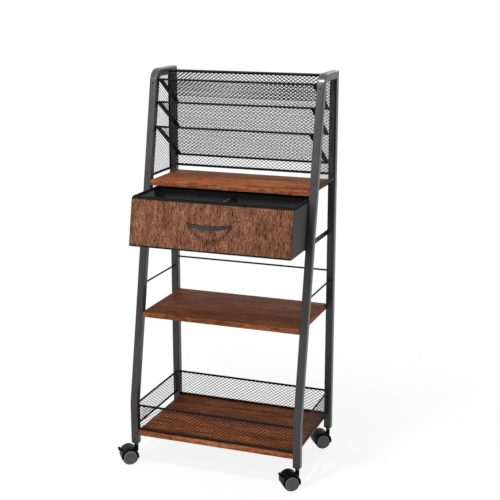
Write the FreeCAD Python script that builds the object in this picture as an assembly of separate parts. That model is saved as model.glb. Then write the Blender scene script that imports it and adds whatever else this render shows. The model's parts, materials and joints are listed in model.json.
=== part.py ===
import FreeCAD, Part
import math
import os

# A rolling workstation organizer for hobby supplies, in millimetres.  Two side frames of bent square
# tube carry a tabletop with a drawer under it, a middle shelf, a bottom basket and, above the
# tabletop, three sloping mesh tiers with a deep pocket behind them.  It rolls on four twin-wheel
# casters.  X runs to the right, Y to the rear and Z up.  While it is built, X is 0 midway between
# the side frames, Y is 0 on the posts' rear faces and Z is 0 on the floor; the last step moves the
# origin below the middle of the whole part.

V = FreeCAD.Vector
UP = V(0, 0, 1)
RIGHT = V(1, 0, 0)
REARWARD = V(0, 1, 0)

# Side frames of square steel tube
frame_width = 600.0  # over the outer faces of the two side frames
frame_depth = 375.6  # posts' rear faces to the front faces of the feet
frame_height = 1311.0  # floor to the top of the tube
tube_size = 25.0
tube_wall = 1.5
tube_corner_radius = 3.0
tube_end_height = 76.0  # floor to the tubes' open lower ends
lean_start_height = 216.0  # the front legs stand upright up to here
lean = math.radians(11.07)  # and lean to the rear above it
lean_bend_radius = 90.0  # on the front faces
top_bend_radius = 45.0

# Plastic plugs in the tube ends and the steel caster stems that they hold
plug_head_height = 10.0
plug_head_taper = 8.0  # the height over which the head narrows to its round tip
plug_tip_diameter = 14.0
plug_shank_depth = 15.0
stem_diameter = 10.0
stem_end_height = 46.3  # floor to the stem's lower end
stem_tail = 6.0  # how far the stem stands above its plug

# Twin-wheel casters
wheel_diameter = 53.0
wheel_width = 19.0
wheel_edge_radius = 2.5
wheel_dish_diameter = 46.0
wheel_dish_depth = 1.2
caster_trail = 25.0  # from the swivel axis back to the axle
caster_heading = math.radians(216.87)  # the way the wheels trail, counterclockwise from +X
axle_diameter = 6.0
hood_web = 12.0  # thickness of the middle web between the wheels
hood_shell = 2.0  # the shell's thickness at the height of its middle
hood_rise = 2.5  # of the shell's middle above the axle, which thins the shell towards its lower tips
hood_skirt_drop = 6.0  # of the lower tips below the axle
hood_wheel_gap = 1.2  # between a wheel's tread and the hood
hood_side_gap = 0.5  # between a wheel and the web
hood_overhang = 0.5  # how far the hood is wider than the wheels, on each side
hood_boss_diameter = 14.0
hood_boss_bottom = 40.0
hood_boss_top = 63.0
axle_eye_diameter = 17.0
running_gap = 0.3  # between parts that turn or slide on each other

# Brake levers of the two front casters, placed about the axle
brake_angle = math.radians(39.0)  # above the horizontal, at the trailing end
brake_pivot_reach = 23.0  # from the axle to the lever's pivot
brake_knob_reach = 43.0  # from the axle to the knob
brake_arm_thickness = 5.0
brake_arm_width = 6.0
brake_pin_diameter = 3.6
brake_pin_setback = 0.3  # of the pin's ends within the web
brake_eye_diameter = 8.0
brake_knob_diameter = 9.0
brake_knob_length = 14.0
brake_slot_height = 12.0
brake_slot_end_gap = 1.0

# Boards
board_thickness = 18.0
rack_height = 358.0  # the tabletop's upper face to the top of the tube
middle_shelf_height = 521.0  # floor to the board's upper face
bottom_shelf_height = 118.0
board_rear_inset = 10.0  # in front of the posts' rear faces
bottom_shelf_front_inset = 4.6

# Steel rods
rail_diameter = 7.0
rod_diameter = 6.0
edge_rod_diameter = 4.0

# Guard rods round the middle shelf
side_guard_rise = 87.0  # each rise is above the board's upper face
rear_guard_rise = 119.0

# Basket round the bottom shelf
basket_rim_rise = 88.5
basket_lower_side_rise = 13.0

# Expanded-metal mesh, drawn at twice the real pitch
mesh_thickness = 1.5
mesh_pitch_across = 28.0
mesh_pitch_along = 20.0
mesh_strand = 3.5
mesh_margin = 4.0  # solid border along each edge

# Rack above the tabletop
side_mesh_bottom_rise = 6.0
rear_bottom_rail_rise = 18.0
rear_top_rail_drop = 15.0  # each drop is below the top of the tube
tier_slope = math.radians(33.4)
tier_side_border = 25.0
tier_rail_drops = [33.0, 106.0, 186.0]
tier_rail_setback = 10.0  # of a rail's axis behind the legs' front faces
pocket_depth_place = 60.0  # the pocket's rim, in front of the posts' rear faces
pocket_rim_drop = 12.0

# Drawer
drawer_height = 158.9
drawer_top_gap = 9.5  # under the tabletop
drawer_side_gap = 2.5  # between the box and the side frames
drawer_rear_gap = 2.0  # behind the closed box, to the posts' front faces
drawer_wall = 4.0
drawer_front_thickness = 8.0
drawer_front_margin = 3.0  # by which the wooden front is lower than the box behind it, above and below
drawer_divider_thickness = 3.0
drawer_divider_drop = 20.0  # below the box's top edge
drawer_travel = 142.0  # how far the drawer stands open
runner_thickness = 1.5
runner_height = 17.2
runner_lip = 16.0
runner_end_inset = 6.0  # behind the legs' front faces and in front of the posts' rear faces

# Arched pull on the drawer's front
pull_span = 158.0
pull_reach = 30.0
pull_height = 14.0
pull_tip_height = 5.0
pull_droop = math.radians(8.0)  # of the bow below the level
pull_root = 3.0  # of its feet behind the bow's ends, before they are cut to the front's face
pull_foot = 8.0
pull_thickness = 6.0
pull_drop = 70.5  # of the pull's middle below the drawer's top edge

# Screw heads
screw_head_diameter = 7.0
screw_head_height = 1.2
screw_edge_radius = 0.5
foot_screw_rise = 9.0  # above the tubes' lower ends
rack_screw_rise = 20.5  # above the tabletop
top_screw_gap = 5.0  # from the head's edge down the leg from the top bend
pull_screw_inset = 4.0  # from the ends of the pull's span

half_width = frame_width / 2
inner_half_width = half_width - tube_size
tube_middle = tube_size / 2
wheel_radius = wheel_diameter / 2
axle_height = wheel_radius

tabletop_height = frame_height - rack_height
side_guard_height = middle_shelf_height + side_guard_rise
rear_guard_height = middle_shelf_height + rear_guard_rise
basket_rim_height = bottom_shelf_height + basket_rim_rise
basket_lower_side_height = bottom_shelf_height + basket_lower_side_rise
side_mesh_bottom_height = tabletop_height + side_mesh_bottom_rise
rear_bottom_rail_height = tabletop_height + rear_bottom_rail_rise
rear_top_rail_height = frame_height - rear_top_rail_drop
pocket_rim_height = frame_height - pocket_rim_drop
drawer_top_height = tabletop_height - board_thickness - drawer_top_gap
drawer_bottom_height = drawer_top_height - drawer_height
runner_bottom_height = drawer_bottom_height - running_gap - runner_thickness
pull_place_height = drawer_top_height - pull_drop


# ---- Outlines and other helpers ----


def rounded_wire(corners):
    """A closed wire through (point, radius) corners; a radius of 0 leaves its corner sharp."""
    edges = []
    run_ends = []
    following = corners[1:] + corners[:1]
    for (before, _), (corner, radius), (after, _) in zip(corners[-1:] + corners[:-1], corners, following):
        back = (before - corner).normalize()
        onward = (after - corner).normalize()
        half_turn = (math.pi - back.getAngle(onward)) / 2
        reach = radius * math.tan(half_turn)
        arc_start = corner + back * reach
        arc_end = corner + onward * reach
        if radius > 0:
            to_arc = radius / math.cos(half_turn) - radius
            arc_middle = corner + (back + onward).normalize() * to_arc
            edges.append(Part.Arc(arc_start, arc_middle, arc_end).toShape())
        run_ends.append((arc_start, arc_end))
    for (_, run_start), (run_end, _) in zip(run_ends, run_ends[1:] + run_ends[:1]):
        edges.append(Part.LineSegment(run_start, run_end).toShape())
    return Part.Wire(Part.__sortEdges__(edges))


def sharp(points):
    """The points as corners without rounding."""
    return [(point, 0) for point in points]


def prism(corners, direction):
    """The solid that a flat outline sweeps along a vector."""
    return Part.Face(rounded_wire(corners)).extrude(direction)


def box(x_range, y_range, z_range):
    """A box between pairs of coordinates."""
    size = [high - low for low, high in (x_range, y_range, z_range)]
    return Part.makeBox(*size, V(x_range[0], y_range[0], z_range[0]))


def rod(start, end, diameter):
    """A round rod between the middles of its end faces."""
    run = end - start
    return Part.makeCylinder(diameter / 2, run.Length, start, run)


def fillet_parallel(solid, direction, radius):
    """The solid with its straight edges along a direction rounded."""
    edges = [edge for edge in solid.Edges
             if edge.Curve.TypeId == "Part::GeomLine"
             and edge.tangentAt(edge.FirstParameter).cross(direction).Length < 1e-6]
    return solid.makeFillet(radius, edges)


def mirrored(shape):
    """The shape's twin on the other side of the middle plane."""
    return shape.mirror(V(0, 0, 0), RIGHT)


# ---- Side frames ----


def leg_front_y(height):
    """Y of a front leg's front face, with its bend taken as sharp."""
    return -frame_depth + max(0.0, height - lean_start_height) * math.tan(lean)


def leg_rear_y(height):
    """Y of a front leg's rear face, with its bend taken as sharp."""
    leaning = leg_front_y(height) + tube_size / math.cos(lean)
    return max(leaning, tube_size - frame_depth) if height > lean_start_height else tube_size - frame_depth


def leg_line(depth):
    """Corners of the line a given depth behind the outer face, from the foot to the post's mitre."""
    top = frame_height - depth
    foot_y = depth - frame_depth
    return [
        (V(0, foot_y, tube_end_height), 0),
        (V(0, foot_y, lean_start_height - depth * math.tan(lean / 2)), lean_bend_radius - depth),
        (V(0, leg_front_y(top) + depth / math.cos(lean), top), top_bend_radius - depth),
        (V(0, -depth, top), 0),
    ]


def leg_block(inset):
    """The left leg and its top bar, with every long face set in by a distance."""
    outline = leg_line(inset) + leg_line(tube_size - inset)[::-1]
    block = prism(outline, V(tube_size - 2 * inset, 0, 0))
    return block.translated(V(inset - half_width, 0, 0))


def post_block(inset):
    """The left rear post up to its mitre, with every long face set in by a distance."""
    far = tube_size - inset
    outline = sharp([
        V(0, -inset, tube_end_height),
        V(0, -far, tube_end_height),
        V(0, -far, frame_height - far),
        V(0, -inset, frame_height - inset),
    ])
    return prism(outline, V(far - inset, 0, 0)).translated(V(inset - half_width, 0, 0))


def round_long_edges(block):
    """A tube's block with every edge rounded but those of its two ends."""
    edges = []
    for edge in block.Edges:
        ends = [vertex.Point for vertex in edge.Vertexes]
        in_foot = all(abs(end.z - tube_end_height) < 1e-3 for end in ends)
        in_mitre = all(abs(end.z - end.y - frame_height) < 1e-3 for end in ends)
        across = abs(ends[0].x - ends[-1].x) > 1e-3
        if not (in_foot or in_mitre or across):
            edges.append(edge)
    return block.makeFillet(tube_corner_radius, edges)


def left_leg():
    return round_long_edges(leg_block(0)).cut(leg_block(tube_wall))


def left_post():
    return round_long_edges(post_block(0)).cut(post_block(tube_wall))


def foot_middles():
    """The middles of the four tubes at the floor, by caster name."""
    places = {}
    for end_name, y in (("front", tube_middle - frame_depth), ("rear", -tube_middle)):
        for side_name, x in (("left", tube_middle - half_width), ("right", half_width - tube_middle)):
            places[f"{end_name}_{side_name}"] = V(x, y, 0)
    return places


def leg_plug():
    """A plug on the Z axis: a head under the tube that narrows to a round tip, and a shank inside it."""
    head_bottom = tube_end_height - plug_head_height
    head_range = (-tube_middle, tube_middle)
    head = box(head_range, head_range, (head_bottom, tube_end_height))
    head = fillet_parallel(head, UP, tube_corner_radius)
    corner_reach = math.hypot(tube_middle, tube_middle)
    taper = Part.makeCone(plug_tip_diameter / 2, corner_reach, plug_head_taper, V(0, 0, head_bottom))
    above_taper = rod(V(0, 0, head_bottom + plug_head_taper), V(0, 0, tube_end_height), 2 * corner_reach)
    head = head.common(taper.fuse(above_taper))
    shank_range = (tube_wall - tube_middle, tube_middle - tube_wall)
    shank = box(shank_range, shank_range, (tube_end_height, tube_end_height + plug_shank_depth))
    bore = rod(V(0, 0, 0), V(0, 0, frame_height), stem_diameter)
    return head.fuse(shank).removeSplitter().cut(bore)


def leg_plugs():
    return [leg_plug().translated(place) for place in foot_middles().values()]


def leg_screws():
    """Low screw heads on the front faces of both legs: at the foot, above the tabletop and under the bend."""
    bend_reach = top_bend_radius * math.tan((math.pi / 2 - lean) / 2)
    top_drop = (bend_reach + top_screw_gap + screw_head_diameter / 2) * math.cos(lean)
    foot_height = tube_end_height + foot_screw_rise
    heads = []
    for height in (foot_height, tabletop_height + rack_screw_rise, frame_height - top_drop):
        lean_here = lean if height > lean_start_height else 0.0
        outward = V(0, -math.cos(lean_here), math.sin(lean_here))
        head = Part.makeCylinder(screw_head_diameter / 2, screw_head_height)
        head = head.makeFillet(screw_edge_radius, head.Faces[1].Edges)
        turn = FreeCAD.Rotation(UP, outward)
        seat = V(tube_middle - half_width, leg_front_y(height), height)
        head.Placement = FreeCAD.Placement(seat, turn)
        heads += [head, mirrored(head)]
    return heads


# ---- Casters: built with the swivel axis on Z, trailing along +X, the axle along Y ----


def about_axle(reach, angle):
    """The point of a caster's middle plane at a distance and an angle from its axle."""
    return V(caster_trail + reach * math.cos(angle), 0, axle_height + reach * math.sin(angle))


def across_caster(centre, diameter, width):
    """A round bar along Y with its middle at a point."""
    half = V(0, width / 2, 0)
    return rod(centre - half, centre + half, diameter)


def in_brake_frame(solid):
    """A solid drawn out along +X from the axle, turned to the brake's angle and set in place."""
    solid.rotate(V(0, 0, 0), REARWARD, -math.degrees(brake_angle))
    return solid.translated(about_axle(0, 0))


def wheel():
    """The wheel on the +Y side, dished on its outer face."""
    inner_y = hood_web / 2 + hood_side_gap
    blank = Part.makeCylinder(wheel_radius, wheel_width, about_axle(0, 0) + V(0, inner_y, 0), REARWARD)
    rims = [edge for edge in blank.Edges if edge.Curve.TypeId == "Part::GeomCircle"]
    blank = blank.makeFillet(wheel_edge_radius, rims)
    dish_y = inner_y + wheel_width - wheel_dish_depth
    dish = Part.makeCylinder(wheel_dish_diameter / 2, wheel_dish_depth, about_axle(0, 0) + V(0, dish_y, 0),
                             REARWARD)
    bore = across_caster(about_axle(0, 0), axle_diameter, frame_width)
    return blank.cut(dish).cut(bore)


def wheel_pair():
    """Both wheels of a caster."""
    twin = wheel()
    return [twin, twin.mirror(V(0, 0, 0), REARWARD)]


def axle():
    """The axle through both wheels, up to the floors of their dishes."""
    length = hood_web + 2 * (hood_side_gap + wheel_width - wheel_dish_depth)
    return across_caster(about_axle(0, 0), axle_diameter, length)


def hood(has_brake):
    """The shell over both wheels, the web between them and the boss round the stem."""
    width = hood_web + 2 * (hood_side_gap + wheel_width + hood_overhang)
    clear_radius = wheel_radius + hood_wheel_gap
    outer_radius = clear_radius + hood_shell
    centre = about_axle(0, 0)
    shell_centre = centre + UP * hood_rise
    boss = rod(V(0, 0, hood_boss_bottom), V(0, 0, hood_boss_top), hood_boss_diameter)
    body = across_caster(shell_centre, 2 * outer_radius, width).fuse(boss)
    body = body.cut(across_caster(centre, 2 * clear_radius, 2 * width))
    body = body.fuse(across_caster(shell_centre, 2 * outer_radius, hood_web))
    reach = caster_trail + outer_radius
    below_skirt = box((-reach, reach), (-width, width), (-axle_height, axle_height - hood_skirt_drop))
    body = body.cut(below_skirt)
    body = body.fuse(across_caster(centre, axle_eye_diameter, hood_web))
    body = body.cut(across_caster(centre, axle_diameter + 2 * running_gap, 2 * width))
    socket_bottom = stem_end_height - running_gap
    body = body.cut(rod(V(0, 0, socket_bottom), V(0, 0, frame_height), stem_diameter + 2 * running_gap))
    if has_brake:
        slot_start = brake_pivot_reach - brake_eye_diameter / 2 - brake_slot_end_gap
        slot_half_width = brake_arm_width / 2 + running_gap
        slot = box((slot_start, outer_radius + hood_rise + hood_shell), (-slot_half_width, slot_half_width),
                   (-brake_slot_height / 2, brake_slot_height / 2))
        pin_bore = across_caster(V(brake_pivot_reach, 0, 0), brake_pin_diameter + 2 * running_gap, hood_web)
        body = body.cut(in_brake_frame(slot)).cut(in_brake_frame(pin_bore))
    return body.removeSplitter()


def brake_lever():
    """The lever with its pivot pin inside the web and a round knob at its end."""
    pivot = V(brake_pivot_reach, 0, 0)
    arm = box((brake_pivot_reach, brake_knob_reach), (-brake_arm_width / 2, brake_arm_width / 2),
              (-brake_arm_thickness / 2, brake_arm_thickness / 2))
    eye = across_caster(pivot, brake_eye_diameter, brake_arm_width)
    pin = across_caster(pivot, brake_pin_diameter, hood_web - 2 * brake_pin_setback)
    knob = across_caster(V(brake_knob_reach, 0, 0), brake_knob_diameter, brake_knob_length)
    lever = arm.fuse([eye, pin, knob]).removeSplitter()
    return in_brake_frame(lever)


def stem():
    """The stem, on the swivel axis, from the hood's socket through the plug."""
    top = tube_end_height + plug_shank_depth + stem_tail
    return rod(V(0, 0, stem_end_height), V(0, 0, top), stem_diameter)


def casters():
    """The pieces of the four casters, by node name."""
    pieces = {}
    for name, place in foot_middles().items():
        local = {"caster_stem": [stem()], "caster_hood": [hood("front" in name)],
                 "caster_axle": [axle()], "caster_wheels": wheel_pair()}
        if "front" in name:
            local["brake_lever"] = [brake_lever()]
        for piece_name, solids in local.items():
            for solid in solids:
                solid.rotate(V(0, 0, 0), UP, math.degrees(caster_heading))
                solid.translate(place)
            pieces[f"{name}_{piece_name}"] = solids
    return pieces


# ---- Boards and rods ----


def board(top_height, front_y):
    """A board between the two side frames."""
    return box((-inner_half_width, inner_half_width), (front_y, -board_rear_inset),
               (top_height - board_thickness, top_height))


def cross_rod(y, height, diameter):
    """A rod from one side frame to the other."""
    return rod(V(-inner_half_width, y, height), V(inner_half_width, y, height), diameter)


def side_rod(x, height, diameter):
    """A rod from the rear face of the left leg to the front face of its post."""
    start_y = leg_rear_y(height) - tube_middle
    blank = rod(V(x, start_y, height), V(x, -tube_size, height), diameter)
    return blank.cut(leg_block(0))


# ---- Mesh ----


def inside_by(point, corners, border_widths):
    """Whether a point of a convex, counterclockwise outline keeps clear of each side's border."""
    for (start, _), (end, _), border in zip(corners, corners[1:] + corners[:1], border_widths):
        side = (end - start).normalize()
        inward = V(-side.y, side.x, 0)
        if (point - start).dot(inward) < border:
            return False
    return True


def mesh_holes(corners, border_widths):
    """Diamond holes in a staggered pattern, kept where they lie wholly inside the borders."""
    half_across = mesh_pitch_across / 2
    half_along = mesh_pitch_along / 2
    shrink = 1 - mesh_strand * math.hypot(half_across, half_along) / (2 * half_across * half_along)
    tips = [V(half_across * shrink, 0, 0), V(0, half_along * shrink, 0)]
    tips += [tips[0] * -1, tips[1] * -1]
    xs = [point.x for point, _ in corners]
    ys = [point.y for point, _ in corners]
    middle = V((min(xs) + max(xs)) / 2, (min(ys) + max(ys)) / 2, 0)
    columns = int((max(xs) - min(xs)) / mesh_pitch_across) + 1
    rows = int((max(ys) - min(ys)) / mesh_pitch_along) + 1
    holes = []
    for column in range(-columns, columns + 1):
        for row in range(-rows, rows + 1):
            if (column + row) % 2:
                continue
            centre = middle + V(column * half_across, row * half_along, 0)
            diamond = [centre + tip for tip in tips]
            if all(inside_by(tip, corners, border_widths) for tip in diamond):
                holes.append(Part.makePolygon(diamond + diamond[:1]))
    return holes


def mesh_panel(corners, border_widths, origin, across, along):
    """A flat mesh sheet, drawn in its own plane and set down on two directions from an origin."""
    holes = mesh_holes(corners, border_widths)
    for hole in holes:
        hole.reverse()
    face = Part.Face([rounded_wire(corners)] + holes)
    sheet = face.extrude(V(0, 0, mesh_thickness))
    turn = FreeCAD.Rotation(across, along, across.cross(along), "XYZ")
    sheet.Placement = FreeCAD.Placement(origin, turn)
    return sheet


def upright_cross_mesh(y, low, high):
    """A mesh sheet across the whole inner width, upright in the plane of a given Y."""
    corners = sharp([V(-inner_half_width, low, 0), V(inner_half_width, low, 0),
                     V(inner_half_width, high, 0), V(-inner_half_width, high, 0)])
    return mesh_panel(corners, [mesh_margin] * 4, V(0, y + mesh_thickness / 2, 0), RIGHT, UP)


def left_side_sheet(corners, x):
    """A mesh sheet in the left side frame's plane, from corners whose x and y mean Y and Z."""
    return mesh_panel(corners, [mesh_margin] * len(corners), V(x, 0, 0), REARWARD, UP)


# ---- Rack above the tabletop ----


tier_rail_places = [  # distance in front of the posts' rear faces, height
    (-leg_front_y(frame_height - drop) - tier_rail_setback, frame_height - drop) for drop in tier_rail_drops
]


def left_side_panel():
    """The mesh between the left leg, its top bar and the post, with a rod below and behind it."""
    sheet_x = tube_corner_radius - half_width
    rod_x = sheet_x + mesh_thickness / 2
    sheet_bottom = side_mesh_bottom_height + rail_diameter / 2
    sheet_rear = -tube_size - edge_rod_diameter
    bend, bend_radius = leg_line(tube_size)[2]
    corners = [
        (V(leg_rear_y(sheet_bottom), sheet_bottom, 0), 0),
        (V(sheet_rear, sheet_bottom, 0), 0),
        (V(sheet_rear, bend.z, 0), 0),
        (V(bend.y, bend.z, 0), bend_radius),
    ]
    edge_y = sheet_rear + edge_rod_diameter / 2
    edge_rod = rod(V(rod_x, edge_y, sheet_bottom), V(rod_x, edge_y, bend.z), edge_rod_diameter)
    bottom_rod = side_rod(rod_x, side_mesh_bottom_height, rail_diameter)
    return left_side_sheet(corners, sheet_x), [bottom_rod, edge_rod]


def rear_sheet():
    """The mesh between the posts."""
    low = rear_bottom_rail_height + rail_diameter / 2
    high = rear_top_rail_height - rail_diameter / 2
    return upright_cross_mesh(-tube_middle, low, high)


def tier_end(rail_distance):
    """How far along its slope a tier runs from its rail's axis to the rear mesh."""
    rear_mesh_face = -tube_middle - mesh_thickness / 2
    level_run = rear_mesh_face + rail_distance - mesh_thickness / 2 * math.sin(tier_slope)
    return level_run / math.cos(tier_slope)


def tier(rail_distance, rail_height):
    """A sloping mesh sheet that starts at its front rail and ends at the rear mesh."""
    down_slope = V(0, math.cos(tier_slope), -math.sin(tier_slope))
    normal = RIGHT.cross(down_slope)
    start = rail_diameter / 2
    end = tier_end(rail_distance)
    corners = sharp([V(-inner_half_width, start, 0), V(inner_half_width, start, 0),
                     V(inner_half_width, end, 0), V(-inner_half_width, end, 0)])
    borders = [mesh_margin, tier_side_border, mesh_margin, tier_side_border]
    origin = V(0, -rail_distance, rail_height) - normal * (mesh_thickness / 2)
    return mesh_panel(corners, borders, origin, RIGHT, down_slope)


def tier_plane_height(rail_distance, rail_height, y):
    """Height of the middle of a tier's sheet at a given Y."""
    return rail_height - (y + rail_distance) * math.tan(tier_slope)


def rear_middle_rail():
    """The rod behind the lowest tier, against the rear mesh and under the tier's sheet."""
    y = -tube_middle - mesh_thickness / 2 - rod_diameter / 2
    drop = (mesh_thickness + rod_diameter) / 2 / math.cos(tier_slope)
    return cross_rod(y, tier_plane_height(*tier_rail_places[-1], y) - drop, rod_diameter)


def pocket_sheet():
    """The upright mesh from the top tier's sheet to the pocket's rim."""
    front_face = -pocket_depth_place - mesh_thickness / 2
    seat_rise = mesh_thickness / 2 / math.cos(tier_slope)
    low = tier_plane_height(*tier_rail_places[0], front_face) + seat_rise
    return upright_cross_mesh(-pocket_depth_place, low, pocket_rim_height - rail_diameter / 2)


# ---- Drawer, drawn closed ----


def leaning_slab(low, high, front_depth, rear_depth, half_span):
    """A slab between two planes that lie given depths behind the legs' leaning front faces."""
    front = front_depth / math.cos(lean)
    rear = rear_depth / math.cos(lean)
    outline = sharp([
        V(-half_span, leg_front_y(low) + front, low),
        V(-half_span, leg_front_y(low) + rear, low),
        V(-half_span, leg_front_y(high) + rear, high),
        V(-half_span, leg_front_y(high) + front, high),
    ])
    return prism(outline, V(2 * half_span, 0, 0))


def box_block(low, high, front_depth, rear_y, half_span):
    """A block with a leaning front plane and an upright rear plane."""
    front = front_depth / math.cos(lean)
    outline = sharp([
        V(-half_span, leg_front_y(low) + front, low),
        V(-half_span, rear_y, low),
        V(-half_span, rear_y, high),
        V(-half_span, leg_front_y(high) + front, high),
    ])
    return prism(outline, V(2 * half_span, 0, 0))


drawer_half_width = inner_half_width - drawer_side_gap
drawer_rear_y = -tube_size - drawer_rear_gap
drawer_floor_height = drawer_bottom_height + drawer_wall
box_wall_depth = drawer_front_thickness + drawer_wall


def drawer_front():
    """The wooden front, on the box's leaning front wall."""
    return leaning_slab(drawer_bottom_height + drawer_front_margin, drawer_top_height - drawer_front_margin,
                        0, drawer_front_thickness, drawer_half_width)


def drawer_box():
    """The open box."""
    outer = box_block(drawer_bottom_height, drawer_top_height, drawer_front_thickness, drawer_rear_y,
                      drawer_half_width)
    inner = box_block(drawer_floor_height, drawer_top_height + drawer_wall, box_wall_depth,
                      drawer_rear_y - drawer_wall, drawer_half_width - drawer_wall)
    return outer.cut(inner)


def drawer_divider():
    """The wall across the middle of the box, from front to rear."""
    return box_block(drawer_floor_height, drawer_top_height - drawer_divider_drop, box_wall_depth,
                     drawer_rear_y - drawer_wall, drawer_divider_thickness / 2)


def on_front(shape, x, depth):
    """A shape drawn outward along -Y, set at a depth behind the wooden front's face."""
    shape.rotate(V(0, 0, 0), RIGHT, -math.degrees(lean))
    face_y = leg_front_y(pull_place_height) + depth / math.cos(lean)
    return shape.translated(V(x, face_y, pull_place_height))


def drawer_pull():
    """A bow-shaped pull that tapers to its two ends and droops from the wooden front."""
    half_span = pull_span / 2
    half_gap = half_span - pull_foot
    bow = [
        Part.Arc(V(-half_span, 0, 0), V(0, -pull_reach, 0), V(half_span, 0, 0)).toShape(),
        Part.makePolygon([V(half_span, 0, 0), V(half_span, pull_root, 0), V(half_gap, pull_root, 0),
                          V(half_gap, 0, 0)]),
        Part.Arc(V(half_gap, 0, 0), V(0, pull_thickness - pull_reach, 0), V(-half_gap, 0, 0)).toShape(),
        Part.makePolygon([V(-half_gap, 0, 0), V(-half_gap, pull_root, 0), V(-half_span, pull_root, 0),
                          V(-half_span, 0, 0)]),
    ]
    plan = Part.Face(Part.Wire(bow)).extrude(V(0, 0, pull_height))
    plan.translate(V(0, 0, -pull_height / 2))
    tip = pull_tip_height / 2
    crown = pull_height / 2
    lens = [
        Part.Arc(V(-half_span, 0, tip), V(0, 0, crown), V(half_span, 0, tip)).toShape(),
        Part.LineSegment(V(half_span, 0, tip), V(half_span, 0, -tip)).toShape(),
        Part.Arc(V(half_span, 0, -tip), V(0, 0, -crown), V(-half_span, 0, -tip)).toShape(),
        Part.LineSegment(V(-half_span, 0, -tip), V(-half_span, 0, tip)).toShape(),
    ]
    elevation = Part.Face(Part.Wire(lens)).extrude(V(0, -pull_reach - pull_root, 0))
    blade = plan.common(elevation.translated(V(0, pull_root, 0)))
    blade.rotate(V(0, 0, 0), RIGHT, math.degrees(pull_droop))
    return blade.translated(V(0, leg_front_y(pull_place_height), pull_place_height)).cut(drawer_front())


def pull_screws():
    """The heads of the pull's two screws, inside the box."""
    heads = []
    for side in (-1, 1):
        head = Part.makeCylinder(screw_head_diameter / 2, screw_head_height, V(0, 0, 0), REARWARD)
        heads.append(on_front(head, side * (pull_span / 2 - pull_screw_inset), box_wall_depth))
    return heads


def left_runner():
    """An angle of sheet steel on the inner faces of the left leg and post."""
    flange_x = -inner_half_width
    low = runner_bottom_height
    y_range = (leg_front_y(low + runner_height) + runner_end_inset, -runner_end_inset)
    flange = box((flange_x, flange_x + runner_thickness), y_range, (low, low + runner_height))
    lip = box((flange_x, flange_x + runner_thickness + runner_lip), y_range, (low, low + runner_thickness))
    return flange.fuse(lip).removeSplitter()


def drawer():
    """The drawer's pieces, by node name, moved out to where they stand at rest."""
    pieces = {
        "drawer_front": [drawer_front()],
        "drawer_box": [drawer_box()],
        "drawer_divider": [drawer_divider()],
        "drawer_pull": [drawer_pull()],
        "pull_screws": pull_screws(),
    }
    for solids in pieces.values():
        for solid in solids:
            solid.translate(V(0, -drawer_travel, 0))
    return pieces


# ---- Assembly ----


def frame():
    """The tubes and what closes them, by node name."""
    leg = left_leg()
    post = left_post()
    return {
        "left_leg": [leg],
        "right_leg": [mirrored(leg)],
        "left_post": [post],
        "right_post": [mirrored(post)],
        "leg_plugs": leg_plugs(),
        "frame_screws": leg_screws(),
    }


def boards():
    """The three boards and the runners under the tabletop, by node name."""
    runner = left_runner()
    return {
        "tabletop": [board(tabletop_height, leg_front_y(tabletop_height))],
        "middle_shelf": [board(middle_shelf_height, leg_front_y(middle_shelf_height))],
        "bottom_shelf": [board(bottom_shelf_height, bottom_shelf_front_inset - frame_depth)],
        "left_drawer_runner": [runner],
        "right_drawer_runner": [mirrored(runner)],
    }


def shelf_guards():
    """The rods round the middle shelf, by node name."""
    guard = side_rod(tube_middle - half_width, side_guard_height, rod_diameter)
    return {
        "left_guard_rod": [guard],
        "right_guard_rod": [mirrored(guard)],
        "rear_guard_rod": [cross_rod(-tube_middle, rear_guard_height, rod_diameter)],
    }


def basket():
    """The mesh walls and rods round the bottom shelf, by node name."""
    front_y = tube_middle - frame_depth
    rear_y = -tube_middle
    side_x = tube_middle - half_width
    lower_height = bottom_shelf_height + rod_diameter / 2
    rods = [cross_rod(y, height, rod_diameter)
            for y in (front_y, rear_y) for height in (basket_rim_height, lower_height)]
    for height in (basket_rim_height, basket_lower_side_height):
        left = side_rod(side_x, height, rod_diameter)
        rods += [left, mirrored(left)]
    high = basket_rim_height - rod_diameter / 2
    side_low = basket_lower_side_height + rod_diameter / 2
    side_start = tube_size - frame_depth
    corners = sharp([V(side_start, side_low, 0), V(-tube_size, side_low, 0),
                     V(-tube_size, high, 0), V(side_start, high, 0)])
    side = left_side_sheet(corners, side_x - mesh_thickness / 2)
    low = bottom_shelf_height + rod_diameter
    return {
        "basket_front_mesh": [upright_cross_mesh(front_y, low, high)],
        "basket_rear_mesh": [upright_cross_mesh(rear_y, low, high)],
        "basket_left_mesh": [side],
        "basket_right_mesh": [mirrored(side)],
        "basket_rods": rods,
    }


def rack():
    """The mesh panels, tiers and pocket above the tabletop, by node name."""
    side_sheet, side_rods = left_side_panel()
    pieces = {
        "left_side_mesh": [side_sheet],
        "right_side_mesh": [mirrored(side_sheet)],
        "left_side_rods": side_rods,
        "right_side_rods": [mirrored(solid) for solid in side_rods],
        "rear_mesh": [rear_sheet()],
        "rear_top_rail": [cross_rod(-tube_middle, rear_top_rail_height, rail_diameter)],
        "rear_middle_rail": [rear_middle_rail()],
        "rear_bottom_rail": [cross_rod(-tube_middle, rear_bottom_rail_height, rail_diameter)],
        "pocket_rim": [cross_rod(-pocket_depth_place, pocket_rim_height, rail_diameter)],
        "pocket_mesh": [pocket_sheet()],
    }
    for number, (distance, height) in enumerate(tier_rail_places, start=1):
        pieces[f"tier_{number}_rail"] = [cross_rod(-distance, height, rail_diameter)]
        pieces[f"tier_{number}_mesh"] = [tier(distance, height)]
    return pieces


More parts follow.
